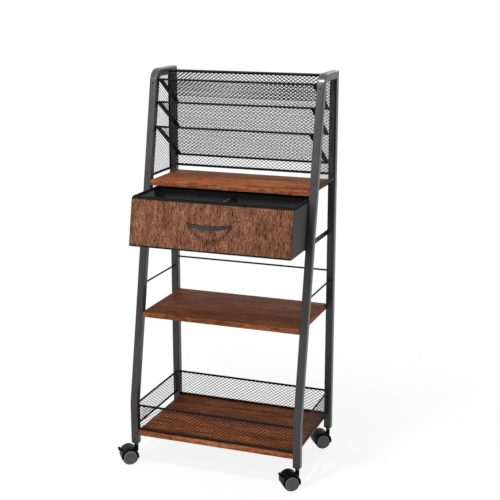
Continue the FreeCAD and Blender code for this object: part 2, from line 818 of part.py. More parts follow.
def assembly():
    """Every node's solids, with the origin on the floor below the middle of the whole part."""
    outermost = {**frame(), **casters(), **drawer()}
    whole = FreeCAD.BoundBox()
    for solids in outermost.values():
        whole.add(Part.makeCompound(solids).optimalBoundingBox(False, False))
    nodes = {**outermost, **boards(), **shelf_guards(), **basket(), **rack()}
    to_origin = V(-whole.Center.x, -whole.Center.y, -whole.ZMin)
    for solids in nodes.values():
        for solid in solids:
            solid.translate(to_origin)
    return nodes, to_origin


os.makedirs("parts", exist_ok=True)
parts, origin_shift = assembly()
for node, solids in parts.items():
    shape = solids[0] if len(solids) == 1 else Part.makeCompound(solids)
    shape.exportStep(f"parts/{node}.step")
print(len(parts), "nodes; moved by", origin_shift)
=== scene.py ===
# %% [markdown]
# # A rolling organizer for hobby supplies
# The real object is a steel tube rack on four twin-wheel casters.  It carries three rustic boards, a
# fabric drawer bin with a wooden front, a mesh basket, and three sloping mesh tiers with a deep pocket
# behind them.  The CAD model gives every piece its true size and place, so this lesson loads it as a
# fixed frame and dresses it.  Pieces whose shape is already right get clean shading and a material.
# The mesh, the boards, the bin, the pull and the wheels get new, finer shapes.

# %% Load the frame
import json
import math

import bmesh
import bpy
from mathutils import Matrix, Vector


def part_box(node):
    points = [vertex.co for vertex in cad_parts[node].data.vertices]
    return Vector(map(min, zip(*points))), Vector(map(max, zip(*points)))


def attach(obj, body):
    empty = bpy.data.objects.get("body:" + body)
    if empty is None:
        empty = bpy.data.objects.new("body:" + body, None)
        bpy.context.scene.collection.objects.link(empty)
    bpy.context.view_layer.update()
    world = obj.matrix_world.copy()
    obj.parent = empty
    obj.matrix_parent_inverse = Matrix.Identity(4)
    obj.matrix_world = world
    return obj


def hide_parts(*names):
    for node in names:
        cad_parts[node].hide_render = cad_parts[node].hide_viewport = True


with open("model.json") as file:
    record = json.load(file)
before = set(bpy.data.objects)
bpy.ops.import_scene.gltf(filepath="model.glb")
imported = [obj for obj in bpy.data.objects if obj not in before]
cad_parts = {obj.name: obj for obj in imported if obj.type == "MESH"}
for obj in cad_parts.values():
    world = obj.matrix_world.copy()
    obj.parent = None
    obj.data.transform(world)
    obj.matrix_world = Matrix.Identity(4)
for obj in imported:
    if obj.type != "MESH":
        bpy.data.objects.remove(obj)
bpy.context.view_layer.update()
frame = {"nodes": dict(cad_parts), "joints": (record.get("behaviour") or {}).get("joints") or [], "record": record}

nodes = frame["nodes"]

# %% [markdown]
# ## Small helpers
# Colours are written as they are in a paint program, in sRGB hex, and one function turns them to the
# linear values that shaders use.  One function adds a node to any tree: its properties come as keyword
# arguments, and its inputs as a dictionary of values or of sockets to link from.  The stops of a
# colour ramp are the one setting that isn't a plain property.

# %% Colour and node helpers
MM = 0.001
RIGHT = Vector((1, 0, 0))
REARWARD = Vector((0, 1, 0))
UP = Vector((0, 0, 1))


def linear(code):
    """The linear colour, with alpha, of an sRGB hex code such as '#3f3f41', by the sRGB curve."""
    channels = [int(code[place:place + 2], 16) / 255 for place in (1, 3, 5)]
    return (*[c / 12.92 if c <= 0.04045 else ((c + 0.055) / 1.055) ** 2.4 for c in channels], 1.0)


def add(tree, kind, inputs=None, stops=(), **settings):
    """Add one node to a tree, with its settings and any ramp stops, and set or link its inputs."""
    made = tree.nodes.new(kind)
    for name, value in settings.items():
        setattr(made, name, value)
    for name, value in (inputs or {}).items():
        if isinstance(value, bpy.types.NodeSocket):
            tree.links.new(value, made.inputs[name])
        else:
            made.inputs[name].default_value = value
    for number, (position, code) in enumerate(stops):
        elements = made.color_ramp.elements
        element = elements[number] if number < len(elements) else elements.new(position)
        element.position, element.color = position, linear(code)
    return made


print("mid grey is", [round(value, 3) for value in linear("#808080")[:3]])

# %% [markdown]
# ## Materials
# Every finish below starts from what the real surface is.  Images could give the patterns, but noises
# and waves stay sharp close up and need no files.  Each one reads Object coordinates, which are metres
# in this scene, so a pattern's scale is one over its real size in metres.  Paint, plastic and plating
# share two habits: soft patches where colour and gloss drift together, and a fine grain in the surface.

# %% A new material
PATCH_EDGES = (0.3, 0.7)  # the noise values at which a patch is wholly of one shade or the other


def new_material(name, **fixed):
    """A material with a principled shader, whose uniform values are set on its own sockets."""
    material = bpy.data.materials.new(name)
    material.use_nodes = True
    tree = material.node_tree
    shader = tree.nodes["Principled BSDF"]
    for socket_name, value in fixed.items():
        shader.inputs[socket_name.replace("_", " ")].default_value = value
    place = add(tree, "ShaderNodeTexCoord").outputs["Object"]
    return material, tree, shader, place


def grain_size(millimetres):
    """The Scale of a noise whose blobs are about this wide."""
    return 1 / (millimetres * MM)


def soft_patches(tree, shader, place, width, detail, shades, roughness):
    """Let the colour drift between two shades, and the roughness between two values, in patches."""
    patches = add(tree, "ShaderNodeTexNoise", {"Vector": place, "Scale": grain_size(width), "Detail": detail})
    colour = add(tree, "ShaderNodeValToRGB", {"Fac": patches.outputs["Fac"]}, stops=zip(PATCH_EDGES, shades))
    gloss = add(tree, "ShaderNodeMapRange", {"Value": patches.outputs["Fac"], "To Min": roughness[0],
                                             "To Max": roughness[1]})
    tree.links.new(colour.outputs["Color"], shader.inputs["Base Color"])
    tree.links.new(gloss.outputs["Result"], shader.inputs["Roughness"])


def fine_grain(tree, shader, place, width, strength, depth):
    """Roughen the surface with dimples this wide and this deep, both in millimetres."""
    dimples = add(tree, "ShaderNodeTexNoise", {"Vector": place, "Scale": grain_size(width), "Detail": 2.0})
    bump = add(tree, "ShaderNodeBump", {"Height": dimples.outputs["Fac"], "Strength": strength,
                                        "Distance": depth * MM})
    tree.links.new(bump.outputs["Normal"], shader.inputs["Normal"])


print("a pattern 2 mm wide has the scale", grain_size(2.0))

# %% [markdown]
# ### Powder coat on steel tube
# The tubes are sprayed with dry powder and baked.  That leaves a thin satin plastic skin with a faint
# orange peel about a millimetre wide, so highlights are soft and slightly broken.  One flat grey with
# one gloss would look like a drawing of a tube, so both drift a little.  The rods and the mesh have a
# flatter, blacker coat, which keeps the thin strands crisp.

# %% Powder coats
PEEL_MM = 1.4  # width of an orange-peel dimple
HANDLING_MM = 60.0  # width of the faint duller patches


def powder_coat(name, dark, light, roughness, shine):
    """Baked powder paint: soft patches a hand wide, orange peel a millimetre wide."""
    material, tree, shader, place = new_material(name, Metallic=0.0, IOR=1.5, Specular_IOR_Level=shine)
    soft_patches(tree, shader, place, HANDLING_MM, detail=3.0, shades=(dark, light),
                 roughness=(roughness - 0.05, roughness + 0.07))
    fine_grain(tree, shader, place, PEEL_MM, strength=0.10, depth=0.1)
    return material


tube_coat = powder_coat("powder_coat_charcoal", "#2f2f31", "#38383a", roughness=0.3, shine=0.36)
wire_coat = powder_coat("powder_coat_black", "#0b0b0c", "#101011", roughness=0.55, shine=0.12)
runner_coat = powder_coat("powder_coat_runner", "#1a1a1c", "#202022", roughness=0.5, shine=0.2)
pull_coat = powder_coat("powder_coat_pull", "#252427", "#302f33", roughness=0.32, shine=0.35)
print("powder coats with dimples of", PEEL_MM, "mm")

# %% [markdown]
# ### Rustic printed board
# The boards are chipboard under a printed and embossed foil that copies old, weathered oak.  Four
# things make it read as wood: wide bands, growth lines that run along the board and wander, pores less
# than a millimetre wide, and a few dark cracks.  A Wave texture could draw the growth lines, but its
# rings come out too even.  So all four are noises, squeezed along the grain with a Mapping node.  The
# shelves carry a bold print and the drawer a fine, upright, mottled one.  The foil is matt, because a
# gloss would wash its print out where the eye meets the boards at a low angle.

# %% Rustic wood
BAND_SHARE = 0.4  # of the bands in the figure; the growth lines are the rest
CRACK_SOFTNESS = 0.06  # the noise values over which a crack darkens


def streaks(tree, place, grain, width, stretch, offset, **settings):
    """A pattern of streaks this many millimetres wide, drawn out along the grain."""
    squeeze = [1 / stretch if axis == grain else 1.0 for axis in "XYZ"]
    squeezed = add(tree, "ShaderNodeMapping", {"Vector": place, "Scale": squeeze, "Location": [offset] * 3})
    inputs = {"Vector": squeezed.outputs[0], "Scale": grain_size(width), **settings}
    return add(tree, "ShaderNodeTexNoise", inputs).outputs["Fac"]


def rustic_wood(name, grain, widths, tones, crack_share, roughness):
    """Foil-covered board: bands, growth lines, pores and cracks along one axis.

    The widths are those of the bands, lines, pores and cracks in millimetres; the tones are deep,
    middle, light and crack."""
    band, line, pore, crack = widths
    deep, middle, light, dark = tones
    material, tree, shader, place = new_material(name, Metallic=0.0, IOR=1.5, Specular_IOR_Level=0.06)
    bands = streaks(tree, place, grain, band, stretch=5.0, offset=0.0, Detail=4.0, Roughness=0.6)
    lines = streaks(tree, place, grain, line, stretch=12.0, offset=3.0, Detail=6.0, Roughness=0.65,
                    Distortion=0.6)
    pores = streaks(tree, place, grain, pore, stretch=10.0, offset=7.0, Detail=3.0, Roughness=0.6)
    cracks = streaks(tree, place, grain, crack, stretch=16.0, offset=11.0, Detail=5.0, Roughness=0.55,
                     Distortion=0.8)
    band_part = add(tree, "ShaderNodeMath", {0: bands, 1: BAND_SHARE}, operation="MULTIPLY")
    figure = add(tree, "ShaderNodeMath", {0: lines, 1: 1 - BAND_SHARE, 2: band_part.outputs[0]},
                 operation="MULTIPLY_ADD")
    colour = add(tree, "ShaderNodeValToRGB", {"Fac": figure.outputs[0]},
                 stops=[(0.38, deep), (0.5, middle), (0.62, light)])
    pore_tone = add(tree, "ShaderNodeValToRGB", {"Fac": pores}, stops=[(0.38, "#6a6a6a"), (0.56, "#ffffff")])
    printed = add(tree, "ShaderNodeMix", {0: 0.8, 6: colour.outputs[0], 7: pore_tone.outputs[0]},
                  data_type="RGBA", blend_type="MULTIPLY")
    crack_depth = add(tree, "ShaderNodeMapRange", {"Value": cracks, "From Min": 1 - crack_share,
                                                   "From Max": 1 - crack_share + CRACK_SOFTNESS})
    worn = add(tree, "ShaderNodeMix", {0: crack_depth.outputs["Result"], 6: printed.outputs[2],
                                       7: linear(dark)}, data_type="RGBA")
    tree.links.new(worn.outputs[2], shader.inputs["Base Color"])
    gloss = add(tree, "ShaderNodeMapRange", {"Value": figure.outputs[0], "To Min": roughness + 0.08,
                                             "To Max": roughness - 0.08})
    tree.links.new(gloss.outputs["Result"], shader.inputs["Roughness"])
    bump = add(tree, "ShaderNodeBump", {"Height": pores, "Strength": 0.25, "Distance": 0.15 * MM})
    tree.links.new(bump.outputs["Normal"], shader.inputs["Normal"])
    return material


# The widths of bands, lines, pores and cracks.  Real pores are half as wide, too fine to show.
SHELF_WIDTHS = (70.0, 8.0, 1.6, 15.0)
EDGE_WIDTHS = (50.0, 5.0, 1.6, 9.0)
DRAWER_WIDTHS = (30.0, 4.0, 1.5, 6.0)
FOIL_ROUGHNESS = 0.62
shelf_face = rustic_wood("rustic_oak_foil_face", "X", SHELF_WIDTHS,
                         ("#522611", "#834726", "#a86739", "#2a120a"), crack_share=0.36,
                         roughness=FOIL_ROUGHNESS)
shelf_edge = rustic_wood("rustic_oak_foil_edge", "X", EDGE_WIDTHS,
                         ("#6e3420", "#a8623f", "#cc8658", "#3e1d14"), crack_share=0.38,
                         roughness=FOIL_ROUGHNESS)
drawer_face = rustic_wood("rustic_oak_foil_drawer", "Z", DRAWER_WIDTHS,
                          ("#4f2d21", "#805440", "#a8775c", "#361e19"), crack_share=0.40,
                          roughness=FOIL_ROUGHNESS)
print("growth lines of", SHELF_WIDTHS[1], "mm on the shelves and", DRAWER_WIDTHS[1], "mm on the drawer")

# %% [markdown]
# ### Woven drawer fabric
# The bin is plain-woven polyester cloth glued over stiff board.  Its threads could be modelled one by
# one, but they are far too many and too thin, so they are bumps.  Three waves at right angles give
# them on every wall.  Real threads are about 0.6 mm apart; they are drawn at 1.2 mm, so that they
# show.  A darker, smoother tape binds the rim.

# %% Bin fabric
THREAD_MM = 1.2
FUZZ_MM = 9.0  # width of the faint lighter and darker patches
WAVE_PERIOD = 0.314  # metres from crest to crest of a Wave texture at a Scale of 1


def bin_cloth(name, shade, lit, thread_depth):
    """A plain weave with a little fuzz, for cloth over board."""
    material, tree, shader, place = new_material(name, Metallic=0.0, IOR=1.45, Roughness=0.9,
                                                 Sheen_Weight=0.03, Specular_IOR_Level=0.1)
    weave = 0.0
    for direction in ("X", "Y", "Z"):
        wave = add(tree, "ShaderNodeTexWave", {"Vector": place, "Scale": WAVE_PERIOD / (THREAD_MM * MM),
                                               "Distortion": 1.2, "Detail Scale": 2.0},
                   bands_direction=direction)
        weave = add(tree, "ShaderNodeMath", {0: wave.outputs["Fac"], 1: weave}, operation="ADD").outputs[0]
    fuzz = add(tree, "ShaderNodeTexNoise", {"Vector": place, "Scale": grain_size(FUZZ_MM), "Detail": 6.0,
                                            "Roughness": 0.7})
    colour = add(tree, "ShaderNodeValToRGB", {"Fac": fuzz.outputs["Fac"]},
                 stops=zip(PATCH_EDGES, (shade, lit)))
    tree.links.new(colour.outputs["Color"], shader.inputs["Base Color"])
    bump = add(tree, "ShaderNodeBump", {"Height": weave, "Strength": thread_depth, "Distance": 0.2 * MM})
    tree.links.new(bump.outputs["Normal"], shader.inputs["Normal"])
    return material


bin_outside = bin_cloth("polyester_cloth_grey", "#565657", "#626263", thread_depth=0.35)
bin_tape = bin_cloth("polyester_tape_dark", "#0e0e0f", "#161617", thread_depth=0.2)
stitch_thread = bin_cloth("polyester_thread_grey", "#3c3c3d", "#505051", thread_depth=0.1)
print("cloth threads", THREAD_MM, "mm apart")

# %% [markdown]
# ### Moulded plastic, chrome and zinc
# The casters are injection-moulded nylon with a fine spark-eroded texture.  The hoods are blacker than
# the tubes and almost matt, the treads even more so, and the wheels' faces are grey and satin.  The
# pale ring on each wheel cap's bevel is a painted highlight.  The tubes' plugs are polyethylene.  The
# stems are chrome plate, the axles zinc plate and the screws blackened zinc.  All are metals, so only
# colour and gloss tell them apart.

# %% Plastics and bright metals
SPARK_MM = 0.9  # width of a pit that the spark-eroded mould leaves
CLOUD_MM = 14.0  # width of the moulding's faint flow patches
SMEAR_MM = 6.0  # width of the smears on plating


def moulded_plastic(name, shade, lit, roughness, shine):
    """Injection-moulded plastic with a fine tool texture."""
    material, tree, shader, place = new_material(name, Metallic=0.0, IOR=1.53, Specular_IOR_Level=shine)
    soft_patches(tree, shader, place, CLOUD_MM, detail=4.0, shades=(shade, lit),
                 roughness=(roughness - 0.06, roughness + 0.08))
    fine_grain(tree, shader, place, SPARK_MM, strength=0.12, depth=0.08)
    return material


def bright_metal(name, shade, lit, roughness):
    """Bare or plated metal with faint smears."""
    material, tree, shader, place = new_material(name, Metallic=1.0)
    soft_patches(tree, shader, place, SMEAR_MM, detail=4.0, shades=(shade, lit),
                 roughness=(roughness * 0.7, roughness * 1.5))
    return material


hood_nylon = moulded_plastic("moulded_nylon_black", "#09090a", "#0f0f10", roughness=0.36, shine=0.05)
tread_nylon = moulded_plastic("moulded_nylon_tread", "#0c0c0d", "#161617", roughness=0.6, shine=0.015)
face_nylon = moulded_plastic("moulded_nylon_grey", "#323234", "#3c3c3e", roughness=0.26, shine=0.6)
# Painted highlight: a pale grey ring that stands in for the crescent of light on each wheel cap's bevel.
cap_highlight_nylon = moulded_plastic("moulded_nylon_rubbed", "#6c6c6e", "#7e7e80", roughness=0.22, shine=0.6)
plug_plastic = moulded_plastic("moulded_polyethylene_plug", "#1e1e20", "#28282a", roughness=0.45, shine=0.22)
stem_chrome = bright_metal("chrome_plate", "#8f9196", "#b4b6ba", roughness=0.16)
axle_zinc = bright_metal("zinc_plate", "#55575a", "#6b6d70", roughness=0.35)
screw_zinc = bright_metal("black_zinc_plate", "#2b2c2e", "#3a3b3d", roughness=0.35)
print(len(bpy.data.materials), "materials")

# %% [markdown]
# ## Making a piece
# A new piece is one object at the origin with its place in its mesh.  It rides on the body of the CAD
# node that it replaces.  A CAD node's mesh is loose triangles, so a copy of it is merged before it is
# changed, and the node itself is left alone.

# %% Pieces from meshes
scene = bpy.context.scene
body_of_node = {name: body for body, names in frame["record"]["behaviour"]["bodies"].items()
                for name in names}
SMOOTH_BELOW = math.radians(35)  # edges that turn by less than this are shaded smooth
HARD_ABOVE = math.radians(30)  # edges that turn by more than this are rounded
FLAT_WITHIN = math.radians(0.5)  # triangles that turn by less than this are one face
SAME_PLACE = 1e-6  # metres between corners that are merged


def low(node):
    """The corner of a CAD node's box with its smallest x, y and z."""
    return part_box(node)[0]


def high(node):
    """The corner of a CAD node's box with its largest x, y and z."""
    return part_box(node)[1]


def new_piece(name, mesh, like, *replaced):
    """Link a mesh as a piece that rides with a CAD node and replaces some nodes."""
    piece = bpy.data.objects.new(name, mesh)
    scene.collection.objects.link(piece)
    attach(piece, body_of_node[like])
    if replaced:
        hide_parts(*replaced)
    return piece


def to_mesh(name, shape, materials, smooth_below=SMOOTH_BELOW):
    """Turn a bmesh into a mesh with materials, smooth but for its edges sharper than an angle."""
    bmesh.ops.recalc_face_normals(shape, faces=shape.faces[:])
    for face in shape.faces:
        face.smooth = True
    for edge in shape.edges:
        edge.smooth = not (edge.is_manifold and edge.calc_face_angle() > smooth_below)
    mesh = bpy.data.meshes.new(name)
    shape.to_mesh(mesh)
    shape.free()
    for material in materials:
        mesh.materials.append(material)
    return mesh


def merged_copy(node):
    """A bmesh copy of a CAD node with its loose triangles joined."""
    shape = bmesh.new()
    shape.from_mesh(nodes[node].data)
    bmesh.ops.remove_doubles(shape, verts=shape.verts[:], dist=SAME_PLACE)
    return shape


def eased_copy(node, easing, segments=2):
    """A copy of a CAD node with its triangles dissolved into faces and its hard edges rounded."""
    shape = merged_copy(node)
    bmesh.ops.dissolve_limit(shape, angle_limit=FLAT_WITHIN, verts=shape.verts[:], edges=shape.edges[:])
    hard = [edge for edge in shape.edges if edge.is_manifold and edge.calc_face_angle() > HARD_ABOVE]
    bmesh.ops.bevel(shape, geom=hard, offset=easing, segments=segments, profile=0.5, affect="EDGES",
                    clamp_overlap=True)
    return shape


def loose_parts(node):
    """The low and high corners of each separate solid in a CAD node, with its flattest direction.

    Dictionaries keep the vertices in order, so that the solids come in the same order on every run."""
    shape = merged_copy(node)
    parts = []
    unseen = dict.fromkeys(shape.verts)
    while unseen:
        reached = [unseen.popitem()[0]]
        for vertex in reached:  # grows while it is walked, until the whole solid is in it
            for edge in vertex.link_edges:
                other = edge.other_vert(vertex)
                if other in unseen:
                    del unseen[other]
                    reached.append(other)
        low_corner = Vector([min(vertex.co[axis] for vertex in reached) for axis in range(3)])
        high_corner = Vector([max(vertex.co[axis] for vertex in reached) for axis in range(3)])
        faces = dict.fromkeys(face for vertex in reached for face in vertex.link_faces)
        widest = max(faces, key=lambda face: face.calc_area())
        parts.append((low_corner, high_corner, widest.normal.copy()))
    shape.free()
    return parts


# %% [markdown]
# ## Tubes, rods and small parts
# These already have the right shape.  They could be swept again along curves, but that would gain
# nothing.  Each is copied and shaded smooth over its small angles, so that the bends and rounded
# corners carry clean highlights, and each gets the finish of its kind.  The caster hoods are moulded,
# and a mould has no sharp corners, so theirs are rounded too.

# %% Dress the steel and plastic parts
cad_finishes = {
    "_leg": tube_coat, "_post": tube_coat, "leg_plugs": plug_plastic, "_rail": wire_coat, "_rim": wire_coat,
    "_rods": wire_coat, "_rod": wire_coat, "_runner": runner_coat, "_stem": stem_chrome, "_axle": axle_zinc,
    "_lever": hood_nylon,
}
for name in nodes:
    for ending, finish in cad_finishes.items():
        if name.endswith(ending):
            new_piece(f"{name}_smooth", to_mesh(f"{name}_smooth", merged_copy(name), [finish]), name, name)

HOOD_EASING = 1.1 * MM
ROUND_STEPS = 3  # facets across an edge that should look fully round
for name in nodes:
    if name.endswith("_caster_hood"):
        hood = to_mesh(f"{name}_moulded", eased_copy(name, HOOD_EASING, ROUND_STEPS), [hood_nylon])
        new_piece(f"{name}_moulded", hood, name, name)

# %% [markdown]
# ### Boards
# Each board has a foil face and a paler edge band.  The faces that look up or down get the face foil,
# the narrow upright ones the edge foil, and every edge is eased by 0.8 mm, as a real foil turns over
# it.  A Bevel modifier could ease them; a bmesh does it in the same step that sorts the faces.

# %% Boards
BOARD_EASING = 0.8 * MM
FACES_UP = 0.7  # how far up or down a normal points on the board's face and the foil turned over it


def dressed_board(node):
    """A board with eased edges, foil faces and banded edges."""
    shape = eased_copy(node, BOARD_EASING)
    for face in shape.faces:
        face.material_index = 0 if abs(face.normal.z) > FACES_UP else 1
    mesh = to_mesh(f"{node}_board", shape, [shelf_face, shelf_edge])
    return new_piece(f"{node}_board", mesh, node, node)


for node in ("tabletop", "middle_shelf", "bottom_shelf"):
    board = dressed_board(node)
    print(board.name, len(board.data.polygons), "faces")

# %% [markdown]
# ### Drawer front
# The front is the same foil board with upright grain, and strips of the bin's tape turn over its
# upper and lower edges.  Strips could be laid on it as pieces of their own, but the tape is pressed
# flat, so the front's own faces are cut level there and sorted by height.

# %% Drawer front
FRONT_TAPE = 4.5 * MM  # how far the tape reaches over the front


def cut_at_height(shape, height, keep_above=False):
    """Cut a bmesh along a level plane, and optionally drop and close what lies below it."""
    geometry = shape.verts[:] + shape.edges[:] + shape.faces[:]
    cut = bmesh.ops.bisect_plane(shape, geom=geometry, plane_co=(0, 0, height), plane_no=(0, 0, 1),
                                 clear_inner=keep_above)
    if keep_above:
        outline = [item for item in cut["geom_cut"] if isinstance(item, bmesh.types.BMEdge)]
        bmesh.ops.triangle_fill(shape, edges=outline, use_beauty=True)


front = eased_copy("drawer_front", BOARD_EASING)
foil_bottom, foil_top = low("drawer_front").z + FRONT_TAPE, high("drawer_front").z - FRONT_TAPE
cut_at_height(front, foil_bottom)
cut_at_height(front, foil_top)
for face in front.faces:
    face.material_index = 0 if foil_bottom < face.calc_center_median().z < foil_top else 1
front_mesh = to_mesh("drawer_front_board", front, [drawer_face, bin_tape])
new_piece("drawer_front_board", front_mesh, "drawer_front", "drawer_front")
print("drawer front is", [round(value, 3) for value in high("drawer_front") - low("drawer_front")])

# %% [markdown]
# ### Bin and divider
# The bin behind the front is cloth over board: soft edges, and a tape bound over its rim.  The tape
# could be swept round the rim, but the rim's own shape, grown by the tape's thickness, follows every
# wall with no more work.

# %% Bin and divider
RIM_TAPE = 9 * MM  # how far the tape reaches down from the rim
TAPE_THICKNESS = 0.5 * MM
CLOTH_EASING = 1.2 * MM
bin_mesh = to_mesh("drawer_bin", eased_copy("drawer_box", CLOTH_EASING, ROUND_STEPS), [bin_outside])
new_piece("drawer_bin", bin_mesh, "drawer_box", "drawer_box")

rim = merged_copy("drawer_box")
cut_at_height(rim, high("drawer_box").z - RIM_TAPE, keep_above=True)
bmesh.ops.recalc_face_normals(rim, faces=rim.faces[:])
rim.normal_update()
for vertex, outward in [(vertex, vertex.normal.copy()) for vertex in rim.verts]:
    vertex.co += outward * TAPE_THICKNESS
new_piece("drawer_bin_rim_tape", to_mesh("drawer_bin_rim_tape", rim, [bin_tape]), "drawer_box")

divider = eased_copy("drawer_divider", CLOTH_EASING, ROUND_STEPS)
divider_mesh = to_mesh("drawer_bin_divider", divider, [bin_outside])
new_piece("drawer_bin_divider", divider_mesh, "drawer_divider", "drawer_divider")
print("bin is", [round(value, 3) for value in high("drawer_box") - low("drawer_box")])

# %% [markdown]
# ### Pull
# The pull is a cast bow with rounded edges.  Its upper side gets the flatter, blacker coat as painted
# shade, standing in for the dark line of shade along the bow's top.

# %% Pull
PULL_EASING = 1.0 * MM
# Faces that look up more than this are painted in shade.
PULL_SHADED_TOP = 0.5  # how far up a normal points on the pull's upper side
pull = eased_copy("drawer_pull", PULL_EASING, ROUND_STEPS)
# Faces that look up get the black coat: painted shade along the bow's top.
for face in pull.faces:
    face.material_index = 1 if face.normal.z > PULL_SHADED_TOP else 0
pull_mesh = to_mesh("drawer_bow_pull", pull, [pull_coat, wire_coat])
new_piece("drawer_bow_pull", pull_mesh, "drawer_pull", "drawer_pull")
print("pull has", len(pull_mesh.polygons), "faces")

# %% [markdown]
# ## Expanded-metal mesh with Geometry Nodes
# Expanded metal is a sheet slit and pulled open into diamonds, 15.5 mm wide and 10.8 mm high here, with
# strands 1.6 mm wide.  A transparent image could stand in for it, but only real strands have edges,
# cast shadows and stay in an exported mesh.  Two families of straight strands cross to make it.  A
# strand is one box, set where its line enters the panel and stretched to where it leaves, so the node
# tree works out both places from the panel's width, height and the lean of its two ends.  Each family
# takes a little less than half of the thickness, so that the strands pass over each other.

# %% The strand tree
def group_with_inputs(name, inputs):
    """A Geometry Nodes tree with named inputs, and its input node."""
    tree = bpy.data.node_groups.new(name, "GeometryNodeTree")
    for input_name, kind in inputs.items():
        tree.interface.new_socket(input_name, in_out="INPUT", socket_type=kind)
    tree.interface.new_socket("Geometry", in_out="OUTPUT", socket_type="NodeSocketGeometry")
    return tree, add(tree, "NodeGroupInput").outputs


def end_group(tree, geometry, material):
    """Close a tree: instances become real mesh, with a material, at the output."""
    real = add(tree, "GeometryNodeRealizeInstances", {"Geometry": geometry})
    finished = add(tree, "GeometryNodeSetMaterial", {"Geometry": real.outputs[0], "Material": material})
    add(tree, "NodeGroupOutput", {"Geometry": finished.outputs[0]})


LAYER_SHARE = 0.45  # of the sheet's thickness, for each family of strands


def strand_family(tree, given, mirrored):
    """One family of parallel strands, rising to the right or, mirrored, to the left."""
    near_lean, far_lean = ("Right Lean", "Left Lean") if mirrored else ("Left Lean", "Right Lean")
    # The strands' angle, how far before the panel the first one must start to fill it, and their count.
    angle = add(tree, "ShaderNodeMath", {0: given["Pitch Up"], 1: given["Pitch Across"]}, operation="ARCTAN2")
    cosine = add(tree, "ShaderNodeMath", {0: angle.outputs[0]}, operation="COSINE")
    sine = add(tree, "ShaderNodeMath", {0: angle.outputs[0]}, operation="SINE")
    run_back = add(tree, "ShaderNodeMath", {0: given["Height"], 1: given["Pitch Across"]},
                   operation="MULTIPLY")
    before = add(tree, "ShaderNodeMath", {0: run_back.outputs[0], 1: given["Pitch Up"]}, operation="DIVIDE")
    whole = add(tree, "ShaderNodeMath", {0: given["Width"], 1: before.outputs[0]}, operation="ADD")
    count = add(tree, "ShaderNodeMath", {0: whole.outputs[0], 1: given["Pitch Across"]}, operation="DIVIDE")
    # Where each strand's line crosses the level of the panel's lower edge.
    index = add(tree, "GeometryNodeInputIndex")
    stride = add(tree, "ShaderNodeMath", {0: index.outputs[0], 1: 0.5}, operation="ADD")
    along = add(tree, "ShaderNodeMath", {0: stride.outputs[0], 1: given["Pitch Across"]},
                operation="MULTIPLY")
    foot = add(tree, "ShaderNodeMath", {0: along.outputs[0], 1: before.outputs[0]}, operation="SUBTRACT")
    # How far up its line a strand enters the panel, over the near end or over the lower edge.
    near_drift = add(tree, "ShaderNodeMath", {0: given[near_lean], 1: sine.outputs[0]}, operation="MULTIPLY")
    near_pace = add(tree, "ShaderNodeMath", {0: cosine.outputs[0], 1: near_drift.outputs[0]},
                    operation="SUBTRACT")
    near_foot = add(tree, "ShaderNodeMath", {0: foot.outputs[0], 1: -1.0}, operation="MULTIPLY")
    near_hit = add(tree, "ShaderNodeMath", {0: near_foot.outputs[0], 1: near_pace.outputs[0]},
                   operation="DIVIDE")
    start = add(tree, "ShaderNodeMath", {0: near_hit.outputs[0], 1: 0.0}, operation="MAXIMUM")
    # How far up its line it leaves, over the far end or over the upper edge.
    far_drift = add(tree, "ShaderNodeMath", {0: given[far_lean], 1: sine.outputs[0]}, operation="MULTIPLY")
    far_pace = add(tree, "ShaderNodeMath", {0: cosine.outputs[0], 1: far_drift.outputs[0]}, operation="ADD")
    far_foot = add(tree, "ShaderNodeMath", {0: given["Width"], 1: foot.outputs[0]}, operation="SUBTRACT")
    far_hit = add(tree, "ShaderNodeMath", {0: far_foot.outputs[0], 1: far_pace.outputs[0]},
                  operation="DIVIDE")
    top_hit = add(tree, "ShaderNodeMath", {0: given["Height"], 1: sine.outputs[0]}, operation="DIVIDE")
    end = add(tree, "ShaderNodeMath", {0: far_hit.outputs[0], 1: top_hit.outputs[0]}, operation="MINIMUM")
    length = add(tree, "ShaderNodeMath", {0: end.outputs[0], 1: start.outputs[0]}, operation="SUBTRACT")
    # The place where it enters, measured from the far end for the mirrored family, which lies on top.
    start_over = add(tree, "ShaderNodeMath", {0: start.outputs[0], 1: cosine.outputs[0], 2: foot.outputs[0]},
                     operation="MULTIPLY_ADD")
    start_up = add(tree, "ShaderNodeMath", {0: start.outputs[0], 1: sine.outputs[0]}, operation="MULTIPLY")
    if mirrored:
        over = add(tree, "ShaderNodeMath", {0: given["Width"], 1: start_over.outputs[0]},
                   operation="SUBTRACT")
        turn = add(tree, "ShaderNodeMath", {0: math.pi, 1: angle.outputs[0]}, operation="SUBTRACT")
        lift = add(tree, "ShaderNodeMath", {0: given["Thickness"], 1: 1 - LAYER_SHARE},
                   operation="MULTIPLY").outputs[0]
    else:
        over, turn, lift = start_over, angle, 0.0
    spot = add(tree, "ShaderNodeCombineXYZ", {"X": over.outputs[0], "Y": start_up.outputs[0], "Z": lift})
    points = add(tree, "GeometryNodePoints", {"Count": count.outputs[0], "Position": spot.outputs[0]})
    # A point for each strand keeps its size; those shorter than they are wide go.
    depth = add(tree, "ShaderNodeMath", {0: given["Thickness"], 1: LAYER_SHARE}, operation="MULTIPLY")
    size = add(tree, "ShaderNodeCombineXYZ", {"X": length.outputs[0], "Y": given["Strand"],
                                              "Z": depth.outputs[0]})
    sized = add(tree, "GeometryNodeStoreNamedAttribute", {"Geometry": points.outputs[0], "Name": "size",
                                                          "Value": size.outputs[0]}, data_type="FLOAT_VECTOR")
    recalled = add(tree, "GeometryNodeInputNamedAttribute", {"Name": "size"},
                   data_type="FLOAT_VECTOR").outputs[0]
    own_length = add(tree, "ShaderNodeSeparateXYZ", {"Vector": recalled})
    too_short = add(tree, "FunctionNodeCompare", {0: own_length.outputs["X"], 1: given["Strand"]},
                    operation="LESS_THAN", data_type="FLOAT")
    kept = add(tree, "GeometryNodeDeleteGeometry", {"Geometry": sized.outputs[0],
                                                    "Selection": too_short.outputs[0]})
